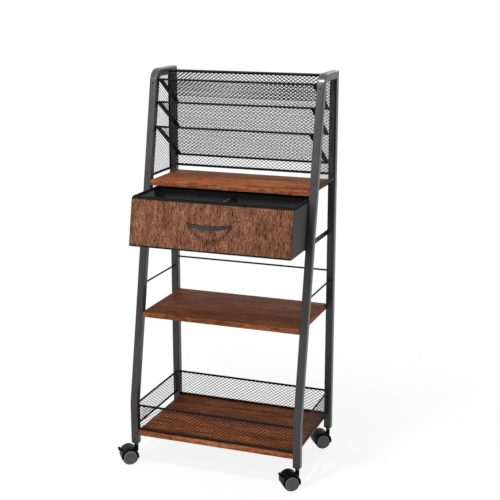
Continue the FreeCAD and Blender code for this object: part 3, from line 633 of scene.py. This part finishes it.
    # A unit cube that grows from one end becomes the strand.
    bar = add(tree, "GeometryNodeMeshCube")
    bar_from_end = add(tree, "GeometryNodeTransform", {"Geometry": bar.outputs[0],
                                                       "Translation": (0.5, 0, 0.5)})
    spin = add(tree, "ShaderNodeCombineXYZ", {"Z": turn.outputs[0]})
    strands = add(tree, "GeometryNodeInstanceOnPoints", {"Points": kept.outputs[0],
                                                         "Instance": bar_from_end.outputs[0],
                                                         "Rotation": spin.outputs[0], "Scale": recalled})
    return strands.outputs[0]


mesh_tree, given = group_with_inputs("Expanded metal", {
    "Width": "NodeSocketFloat", "Height": "NodeSocketFloat", "Left Lean": "NodeSocketFloat",
    "Right Lean": "NodeSocketFloat", "Pitch Across": "NodeSocketFloat", "Pitch Up": "NodeSocketFloat",
    "Strand": "NodeSocketFloat", "Thickness": "NodeSocketFloat", "Material": "NodeSocketMaterial"})
both_ways = add(mesh_tree, "GeometryNodeJoinGeometry")
for mirrored in (False, True):
    mesh_tree.links.new(strand_family(mesh_tree, given, mirrored), both_ways.inputs[0])
end_group(mesh_tree, both_ways.outputs[0], given["Material"])
print("strand tree has", len(mesh_tree.nodes), "nodes")

# %% [markdown]
# A tree runs as a modifier on an empty carrier.  Its inputs are set by each socket's identifier, the
# result is taken as a plain mesh, and the carrier goes.

# %% Growing a mesh
def grow(tree, start=None, **values):
    """Run a Geometry Nodes tree, from a start mesh if it needs one, and return its bmesh."""
    carrier = bpy.data.objects.new("carrier", start or bpy.data.meshes.new("carrier"))
    scene.collection.objects.link(carrier)
    modifier = carrier.modifiers.new("grow", "NODES")
    modifier.node_group = tree
    for item in tree.interface.items_tree:
        if item.in_out == "INPUT" and item.socket_type != "NodeSocketGeometry":
            modifier[item.identifier] = values[item.name.replace(" ", "_")]
    mesh = bpy.data.meshes.new_from_object(carrier.evaluated_get(bpy.context.evaluated_depsgraph_get()))
    grown = bmesh.new()
    grown.from_mesh(mesh)
    bpy.data.objects.remove(carrier)
    bpy.data.meshes.remove(mesh)
    return grown


# %% [markdown]
# Each panel is held in a folded rim: a flat ring of sheet along its outline.  A panel is drawn flat,
# from the lower left corner, and one matrix sets it in place.

# %% A panel with its rim
PITCH_ACROSS = 15.5 * MM  # a diamond's width
PITCH_UP = 10.8 * MM  # and its height
STRAND = 1.6 * MM  # a strand's width
STRAND_SHEET = 0.4 * MM  # the strands' thickness
SHEET = 1.5 * MM  # the folded rim's thickness
RIM = 1.5 * MM  # and its width


def rim_ring(shape, width, height, left_lean, right_lean, borders):
    """Add a flat ring inside a panel's outline; borders are its widths below, right, above and left."""
    below, right, above, left = borders
    first_y, last_y = below, height - above
    outer = [(0, 0), (width, 0), (width - right_lean * height, height), (left_lean * height, height)]
    inner = [(left_lean * first_y + left, first_y), (width - right_lean * first_y - right, first_y),
             (width - right_lean * last_y - right, last_y), (left_lean * last_y + left, last_y)]
    back_outer, back_inner, front_outer, front_inner = [
        [shape.verts.new((x, y, z)) for x, y in ring] for z in (0, SHEET) for ring in (outer, inner)]
    walls = ((back_outer, back_inner), (front_outer, front_inner), (back_outer, front_outer),
             (back_inner, front_inner))
    for side in range(len(outer)):
        after = (side + 1) % len(outer)
        for ring, other in walls:
            shape.faces.new([ring[side], ring[after], other[after], other[side]])


def mesh_panel(node, corner, across, along, width, height, leans=(0.0, 0.0), borders=(RIM, RIM, RIM, RIM)):
    """Replace a CAD mesh panel by fine strands and a rim, from its lower left corner."""
    shape = grow(mesh_tree, Width=width, Height=height, Left_Lean=leans[0], Right_Lean=leans[1],
                 Pitch_Across=PITCH_ACROSS, Pitch_Up=PITCH_UP, Strand=STRAND, Thickness=STRAND_SHEET,
                 Material=wire_coat)
    shape.transform(Matrix.Translation(UP * (SHEET - STRAND_SHEET) / 2))
    rim_ring(shape, width, height, *leans, borders)
    normal = across.cross(along)
    shape.transform(Matrix.Translation(corner) @ Matrix((across, along, normal)).transposed().to_4x4())
    mesh = to_mesh(f"{node}_strands", shape, [wire_coat])
    return new_piece(f"{node}_strands", mesh, node, node)


# %% [markdown]
# The upright panels take their corners straight from the CAD boxes.

# %% Upright panels
for node in ("rear_mesh", "pocket_mesh", "basket_front_mesh", "basket_rear_mesh"):
    bottom, top = low(node), high(node)
    corner = Vector((bottom.x, top.y, bottom.z))
    panel = mesh_panel(node, corner, RIGHT, UP, top.x - bottom.x, top.z - bottom.z)
    print(panel.name, len(panel.data.polygons), "faces")

for node in ("basket_left_mesh", "basket_right_mesh"):
    bottom, top = low(node), high(node)
    mesh_panel(node, bottom, REARWARD, UP, top.y - bottom.y, top.z - bottom.z)

# %% [markdown]
# The side panels of the rack have one upright edge, at the rear, and one that leans with the leg.

# %% Leaning side panels
LEG_LEAN = math.tan(math.radians(11.07))  # the legs lean back by 11.07 degrees
for node in ("left_side_mesh", "right_side_mesh"):
    bottom, top = low(node), high(node)
    panel = mesh_panel(node, bottom, REARWARD, UP, top.y - bottom.y, top.z - bottom.z, leans=(LEG_LEAN, 0.0))
    print(panel.name, "is", round(top.y - bottom.y, 3), "m deep at its foot")

# %% [markdown]
# A tier slopes down to the rear.  The CAD box gives only the upright space that a thin sloping sheet
# fills, so the sheet's length follows from the box's depth and the slope.  The tiers' side borders are
# wide flat plates.

# %% Sloping tiers
TIER_SLOPE = math.radians(33.4)
TIER_SIDE = 18 * MM  # width of the flat border at each side
down_slope = Vector((0, math.cos(TIER_SLOPE), -math.sin(TIER_SLOPE)))
for number in (1, 2, 3):
    node = f"tier_{number}_mesh"
    bottom, top = low(node), high(node)
    length = (top.y - bottom.y - SHEET * math.sin(TIER_SLOPE)) / math.cos(TIER_SLOPE)
    corner = Vector((bottom.x, bottom.y, top.z - SHEET * math.cos(TIER_SLOPE)))
    panel = mesh_panel(node, corner, RIGHT, down_slope, top.x - bottom.x, length,
                       borders=(RIM, TIER_SIDE, RIM, TIER_SIDE))
    print(panel.name, "is", round(length, 3), "m from front to rear")

# %% [markdown]
# ## Screws, welds and stitches
# Small things that repeat are instances on points.  They could be copied in a loop, but a tree keeps
# their shape and sizes in one place.  A start mesh holds one loose vertex for each, with its direction
# and its size as attributes, and the tree sets an instance on every one.

# %% Points with a direction and a size
def marker_points(places):
    """A mesh of loose vertices from (place, direction, size) entries, kept as attributes."""
    spots, directions, sizes = zip(*places)
    mesh = bpy.data.meshes.new("markers")
    mesh.from_pydata(spots, [], [])
    flat = [value for direction in directions for value in direction]
    mesh.attributes.new("direction", "FLOAT_VECTOR", "POINT").data.foreach_set("vector", flat)
    mesh.attributes.new("size", "FLOAT", "POINT").data.foreach_set("value", sizes)
    return mesh


def instances_on_markers(tree, points, instance):
    """Set an instance on each marker, its Z along the direction, scaled by the size."""
    direction = add(tree, "GeometryNodeInputNamedAttribute", {"Name": "direction"}, data_type="FLOAT_VECTOR")
    size = add(tree, "GeometryNodeInputNamedAttribute", {"Name": "size"}, data_type="FLOAT")
    turn = add(tree, "FunctionNodeAlignRotationToVector", {"Vector": direction.outputs[0]}, axis="Z")
    return add(tree, "GeometryNodeInstanceOnPoints", {"Points": points, "Instance": instance,
                                                      "Rotation": turn.outputs[0], "Scale": size.outputs[0]})


print("a pull screw's marker stands at", [round(value, 3) for value in loose_parts("pull_screws")[0][0]])

# %% [markdown]
# The screws are button heads with a hexagon socket.  A head is a low cone frustum of radius 1, from
# which a six-sided prism is cut, and the marker's size is the head's radius.

# %% Socket screws
HEAD_SIDES = 28
HEAD_TAPER = 0.78  # radius of the head's flat top; this and the next two are shares of the head's radius
HEAD_HEIGHT = 0.34
SOCKET_WIDTH = 0.5
HEAD_SETBACK = 0.6 * MM  # from the middle of the CAD head back to the foot of this one
screw_tree, given = group_with_inputs("Socket screw", {
    "Geometry": "NodeSocketGeometry", "Head Height": "NodeSocketFloat", "Socket Width": "NodeSocketFloat",
    "Material": "NodeSocketMaterial"})
head = add(screw_tree, "GeometryNodeMeshCone", {"Vertices": HEAD_SIDES, "Side Segments": 1,
                                                "Radius Top": HEAD_TAPER, "Radius Bottom": 1.0,
                                                "Depth": given["Head Height"]})
socket = add(screw_tree, "GeometryNodeMeshCylinder", {"Vertices": 6, "Radius": given["Socket Width"],
                                                      "Depth": given["Head Height"]})
raised = add(screw_tree, "ShaderNodeCombineXYZ", {"Z": given["Head Height"]})
lifted = add(screw_tree, "GeometryNodeTransform", {"Geometry": socket.outputs[0],
                                                   "Translation": raised.outputs[0]})
sunk = add(screw_tree, "GeometryNodeMeshBoolean", {"Mesh 1": head.outputs[0], "Mesh 2": lifted.outputs[0]},
           operation="DIFFERENCE")
screws = instances_on_markers(screw_tree, given["Geometry"], sunk.outputs[0])
end_group(screw_tree, screws.outputs[0], given["Material"])


def screw_heads(node, outward_y):
    """Replace a CAD node's plain heads; their outer faces look along the given sign of Y."""
    places = []
    for low_corner, high_corner, normal in loose_parts(node):
        outward = normal if normal.y * outward_y > 0 else -normal
        places.append(((low_corner + high_corner) / 2 - outward * HEAD_SETBACK, outward,
                       (high_corner.x - low_corner.x) / 2))
    shape = grow(screw_tree, marker_points(places), Head_Height=HEAD_HEIGHT, Socket_Width=SOCKET_WIDTH,
                 Material=screw_zinc)
    piece = new_piece(f"{node}_sockets", to_mesh(f"{node}_sockets", shape, [screw_zinc]), node, node)
    print(piece.name, "holds", len(places), "heads")


screw_heads("frame_screws", -1)
screw_heads("pull_screws", 1)

# %% [markdown]
# Every rod is welded where it meets a tube, and the paint runs over the weld.  A bead is a ring round
# the rod's end, swept with a small round section and made uneven by noise.  Its marker's size is the
# rod's radius, and the bead's own section is a share of that.

# %% Weld tree
RING_SIDES = 18
SECTION_SIDES = 6
BEAD = 0.34  # radius of a bead's section, as a share of the rod's radius
UNEVENNESS = 0.8 * MM  # from the lowest to the highest that noise can push a bead's surface
RIPPLE_MM = 2.2  # length of one ripple of the weld
weld_tree, given = group_with_inputs("Weld bead", {
    "Geometry": "NodeSocketGeometry", "Bead": "NodeSocketFloat", "Unevenness": "NodeSocketFloat",
    "Material": "NodeSocketMaterial"})
ring = add(weld_tree, "GeometryNodeCurvePrimitiveCircle", {"Resolution": RING_SIDES, "Radius": 1.0})
section = add(weld_tree, "GeometryNodeCurvePrimitiveCircle", {"Resolution": SECTION_SIDES,
                                                              "Radius": given["Bead"]})
torus = add(weld_tree, "GeometryNodeCurveToMesh", {"Curve": ring.outputs[0],
                                                   "Profile Curve": section.outputs[0]})
beads = instances_on_markers(weld_tree, given["Geometry"], torus.outputs[0])
real_beads = add(weld_tree, "GeometryNodeRealizeInstances", {"Geometry": beads.outputs[0]})
ripple = add(weld_tree, "ShaderNodeTexNoise", {"Scale": grain_size(RIPPLE_MM), "Detail": 1.0},
             noise_dimensions="3D")
centred = add(weld_tree, "ShaderNodeVectorMath", {0: ripple.outputs["Color"], 1: (0.5, 0.5, 0.5)},
              operation="SUBTRACT")
push = add(weld_tree, "ShaderNodeVectorMath", {0: centred.outputs[0], "Scale": given["Unevenness"]},
           operation="SCALE")
rough_beads = add(weld_tree, "GeometryNodeSetPosition", {"Geometry": real_beads.outputs[0],
                                                         "Offset": push.outputs[0]})
end_group(weld_tree, rough_beads.outputs[0], given["Material"])
print("weld tree has", len(weld_tree.nodes), "nodes")

# %% [markdown]
# Every rod here runs along an axis, so the ends of its box are the ends of the rod, and the box's
# least size is the rod's diameter.

# %% Welded rod ends
rod_ends = []
for name in nodes:
    if name.endswith(("_rail", "_rim", "_rod", "_rods")):
        for low_corner, high_corner, _ in loose_parts(name):
            size = high_corner - low_corner
            long_axis = max(range(3), key=lambda axis: size[axis])
            direction = (RIGHT, REARWARD, UP)[long_axis]
            centre = (low_corner + high_corner) / 2
            for side in (-1, 1):
                rod_ends.append((centre + direction * side * size[long_axis] / 2, direction, min(size) / 2))
SMOOTH_BEADS = math.radians(70)
bead_shape = grow(weld_tree, marker_points(rod_ends), Bead=BEAD, Unevenness=UNEVENNESS, Material=wire_coat)
new_piece("weld_beads", to_mesh("weld_beads", bead_shape, [wire_coat], SMOOTH_BEADS), "rear_top_rail")
print("welded", len(rod_ends), "rod ends")

# %% [markdown]
# A running stitch holds the tape to the bin.  The tree turns a start mesh's edges into a path, walks
# along it by the stitch pitch and lays a short oval thread at each step.

# %% Stitch tree
stitch_tree, given = group_with_inputs("Running stitch", {
    "Geometry": "NodeSocketGeometry", "Pitch": "NodeSocketFloat", "Length": "NodeSocketFloat",
    "Thread": "NodeSocketFloat", "Material": "NodeSocketMaterial"})
path = add(stitch_tree, "GeometryNodeMeshToCurve", {"Mesh": given["Geometry"]})
steps = add(stitch_tree, "GeometryNodeCurveToPoints", {"Curve": path.outputs[0], "Length": given["Pitch"]},
            mode="LENGTH")
turn = add(stitch_tree, "FunctionNodeAlignRotationToVector", {"Vector": steps.outputs["Tangent"]}, axis="X")
oval = add(stitch_tree, "GeometryNodeMeshIcoSphere", {"Radius": 0.5, "Subdivisions": 1})
stretch = add(stitch_tree, "ShaderNodeCombineXYZ", {"X": given["Length"], "Y": given["Thread"],
                                                    "Z": given["Thread"]})
sewn = add(stitch_tree, "GeometryNodeInstanceOnPoints", {"Points": steps.outputs["Points"],
                                                         "Instance": oval.outputs[0],
                                                         "Rotation": turn.outputs[0],
                                                         "Scale": stretch.outputs[0]})
end_group(stitch_tree, sewn.outputs[0], given["Material"])
print("stitch tree has", len(stitch_tree.nodes), "nodes")

# %% [markdown]
# The seam runs along the two side walls and the rear wall, near the tape's lower edge.  The wooden
# front covers the fourth wall.

# %% Sewn seam
STITCH_INSET = 2.0 * MM  # above the tape's lower edge
STITCH_PITCH = 4.5 * MM
STITCH_LENGTH = 3.2 * MM
STITCH_THREAD = 0.7 * MM
FRONT_WALL_DEPTH = 55 * MM  # from the bin's foremost point back to the leaning front wall at the rim
bin_low, bin_high = low("drawer_box"), high("drawer_box")
stitch_height = bin_high.z - RIM_TAPE + STITCH_INSET
seam_left, seam_right = bin_low.x - TAPE_THICKNESS, bin_high.x + TAPE_THICKNESS
seam_front, seam_rear = bin_low.y + FRONT_WALL_DEPTH, bin_high.y + TAPE_THICKNESS
corners = [(seam_left, seam_front), (seam_left, seam_rear), (seam_right, seam_rear), (seam_right, seam_front)]
seam = bpy.data.meshes.new("seam")
seam.from_pydata([(x, y, stitch_height) for x, y in corners], [(0, 1), (1, 2), (2, 3)], [])
stitches = grow(stitch_tree, seam, Pitch=STITCH_PITCH, Length=STITCH_LENGTH, Thread=STITCH_THREAD,
                Material=stitch_thread)
new_piece("drawer_bin_stitches", to_mesh("drawer_bin_stitches", stitches, [stitch_thread]), "drawer_box")
print("the seam is sewn", round(bin_high.z - stitch_height, 4), "m below the rim")

# %% [markdown]
# ## Wheels
# Each wheel is round, so its shape is a profile swept round the axle: a crowned black tread with a
# rounded shoulder, a groove and, inside it, a raised cap of greyer nylon, which hides the axle.  The
# cap's bevelled lip carries a pale ring of painted highlight.  A Screw modifier could sweep it, but
# then every ring would have the same material.
# A loop builds the same rings and gives each its own.

# %% Turned wheels
WHEEL_PROFILE = [  # distance along the axle from the caster's middle, radius, both in millimetres
    (6.5, 0.0), (6.5, 23.5), (7.2, 25.5), (9.0, 26.4), (16.0, 26.5), (21.5, 26.4), (23.3, 25.8),
    (24.1, 24.7), (24.2, 23.4), (23.2, 22.9), (24.0, 22.5), (25.2, 20.3), (25.5, 19.2),
    (25.4, 8.0), (25.2, 7.2), (25.1, 0.0)]
TREAD, FACE, PAINTED_HIGHLIGHT = 0, 1, 2  # the wheel's materials, in their order on the mesh
FACE_FROM = 9  # the profile's step at which the greyer face begins
HIGHLIGHT_STEP = 10  # the step that is the cap's bevelled lip, with its painted highlight
WHEEL_STEPS = 72
SMOOTH_WHEELS = math.radians(50)


def turned_wheel(shape, hub, axle, side):
    """Sweep the wheel profile round the axle, on one side of the caster."""
    outward = axle * side
    start = outward.orthogonal().normalized()
    poles = [shape.verts.new(hub + outward * WHEEL_PROFILE[end][0] * MM) for end in (0, -1)]
    rings = []
    for step in range(WHEEL_STEPS):
        spoke = Matrix.Rotation(2 * math.pi * step / WHEEL_STEPS, 3, outward) @ start
        ring = [shape.verts.new(hub + outward * along * MM + spoke * radius * MM)
                for along, radius in WHEEL_PROFILE[1:-1]]
        rings.append([poles[0], *ring, poles[1]])
    for ring, after in zip(rings, rings[1:] + rings[:1]):
        for place in range(len(WHEEL_PROFILE) - 1):
            around = [ring[place], after[place], after[place + 1], ring[place + 1]]
            face = shape.faces.new(list(dict.fromkeys(around)))
            # The cap's bevelled lip gets the pale painted highlight.
            face.material_index = PAINTED_HIGHLIGHT if place == HIGHLIGHT_STEP else FACE if place >= FACE_FROM else TREAD


for joint in frame["joints"]:
    name = joint["name"]
    if not name.endswith("_wheels_roll"):
        continue
    caster = name.replace("_wheels_roll", "")
    hub, axle = Vector(joint["pos_m"]), Vector(joint["axis"]).normalized()
    shape = bmesh.new()
    for side in (-1, 1):
        turned_wheel(shape, hub, axle, side)
    mesh = to_mesh(f"{caster}_turned_wheels", shape, [tread_nylon, face_nylon, cap_highlight_nylon], SMOOTH_WHEELS)
    new_piece(f"{caster}_turned_wheels", mesh, f"{caster}_caster_wheels", f"{caster}_caster_wheels")
    print(caster, "wheels at", [round(value, 3) for value in hub])

# %% [markdown]
# ## Studio
# A pale floor and an even white surround.  The camera, and shiny or clear things, see the floor and
# the world as white or nearly so.  Everything else is lit by the world at a lower level and by three
# soft lamps, so that the white surround doesn't wash the dark paint out.

# %% Camera
CAMERA_AZIMUTH = math.radians(20.298)
CAMERA_ELEVATION = math.radians(14.043)
CAMERA_PLACE = Vector((1.29313, -3.26112, 1.60701))
SENSOR_MM = 36.0
LENS_MM = 78.77
camera_data = bpy.data.cameras.new("camera")
camera_data.lens = LENS_MM
camera_data.sensor_width = SENSOR_MM
camera = bpy.data.objects.new("camera", camera_data)
camera.location = CAMERA_PLACE
camera.rotation_euler = (math.pi / 2 - CAMERA_ELEVATION, 0, CAMERA_AZIMUTH)
scene.collection.objects.link(camera)
scene.camera = camera
print("camera at", [round(value, 3) for value in camera.location])

# %% Floor
FLOOR_REACH = 40.0  # metres from the middle to the floor's sides
floor_shape = bmesh.new()
bmesh.ops.create_grid(floor_shape, x_segments=1, y_segments=1, size=FLOOR_REACH)
floor_mesh = to_mesh("floor", floor_shape, [])
floor = bpy.data.objects.new("floor", floor_mesh)
scene.collection.objects.link(floor)


def seen_directly(tree):
    """1 where the camera, a reflection or a clear material looks, 0 for light on its way elsewhere."""
    path = add(tree, "ShaderNodeLightPath")
    either = add(tree, "ShaderNodeMath", {0: path.outputs["Is Camera Ray"], 1: path.outputs["Is Glossy Ray"]},
                 operation="MAXIMUM")
    return add(tree, "ShaderNodeMath", {0: either.outputs[0], 1: path.outputs["Is Transmission Ray"]},
               operation="MAXIMUM").outputs[0]


SHADOW_REACH = 0.4  # metres from the middle, inside which the floor shows its own shading
WHITE_FROM = 1.6  # metres from the middle, beyond which it is as white as the surround
NEAR_WHITE = 0.88  # how white the floor looks close to the object, before the lamps add to it
floor_paint, tree, shader, place = new_material("floor_paper", Roughness=1.0, Specular_IOR_Level=0.0)
reach = add(tree, "ShaderNodeVectorMath", {0: place}, operation="LENGTH")
fade = add(tree, "ShaderNodeMapRange", {"Value": reach.outputs["Value"], "From Min": SHADOW_REACH,
                                        "From Max": WHITE_FROM, "To Min": NEAR_WHITE, "To Max": 1.0})
glow = add(tree, "ShaderNodeMath", {0: seen_directly(tree), 1: fade.outputs["Result"]}, operation="MULTIPLY")
paper = add(tree, "ShaderNodeMix", {0: glow.outputs[0], 6: linear("#f2f2f2"), 7: linear("#000000")},
            data_type="RGBA")
tree.links.new(paper.outputs[2], shader.inputs["Base Color"])
shader.inputs["Emission Color"].default_value = (1, 1, 1, 1)
tree.links.new(glow.outputs[0], shader.inputs["Emission Strength"])
floor.data.materials.append(floor_paint)
print("the floor is white from", WHITE_FROM, "m outwards")

# %% World
SURROUND_LIGHT = 0.34  # what the world gives to a surface; the camera sees it at 1
world = bpy.data.worlds.new("white_surround")
scene.world = world
world.use_nodes = True
sky = world.node_tree
strength = add(sky, "ShaderNodeMapRange", {"Value": seen_directly(sky), "To Min": SURROUND_LIGHT,
                                             "To Max": 1.0})
background = sky.nodes["Background"]
background.inputs["Color"].default_value = (1, 1, 1, 1)
sky.links.new(strength.outputs["Result"], background.inputs["Strength"])
print("the world lights surfaces at", SURROUND_LIGHT)

# %% [markdown]
# A high front lamp brings out the boards and the tubes' bends, a weak one further left keeps the legs
# from going black, and a wide one from behind draws the rear posts.  A lamp's brightness falls with
# the square of its distance, so each is given the level that it should have at the object instead.

# %% Lamps
LAMP_TARGET = Vector((0, -0.1, 0.75))


def lamp(name, azimuth, elevation, distance, width, level):
    """A square soft lamp aimed at the object's middle, from degrees round from the front and upwards.

    The level is the share of a surface's own colour that it gives a surface facing it."""
    azimuth, elevation = math.radians(azimuth), math.radians(elevation)
    towards = Vector((math.sin(azimuth) * math.cos(elevation), -math.cos(azimuth) * math.cos(elevation),
                      math.sin(elevation)))
    light = bpy.data.lights.new(name, "AREA")
    light.size = width
    light.energy = level * (math.pi * distance) ** 2
    holder = bpy.data.objects.new(name, light)
    holder.location = LAMP_TARGET + towards * distance
    holder.rotation_euler = towards.to_track_quat("Z", "Y").to_euler()
    scene.collection.objects.link(holder)


lamp("key_lamp", azimuth=-10, elevation=69, distance=2.3, width=0.2, level=1.05)
lamp("fill_lamp", azimuth=-24, elevation=37, distance=4.0, width=0.8, level=0.27)
lamp("rear_lamp", azimuth=165, elevation=35, distance=3.6, width=2.0, level=0.3)
scene.view_settings.view_transform = "Standard"
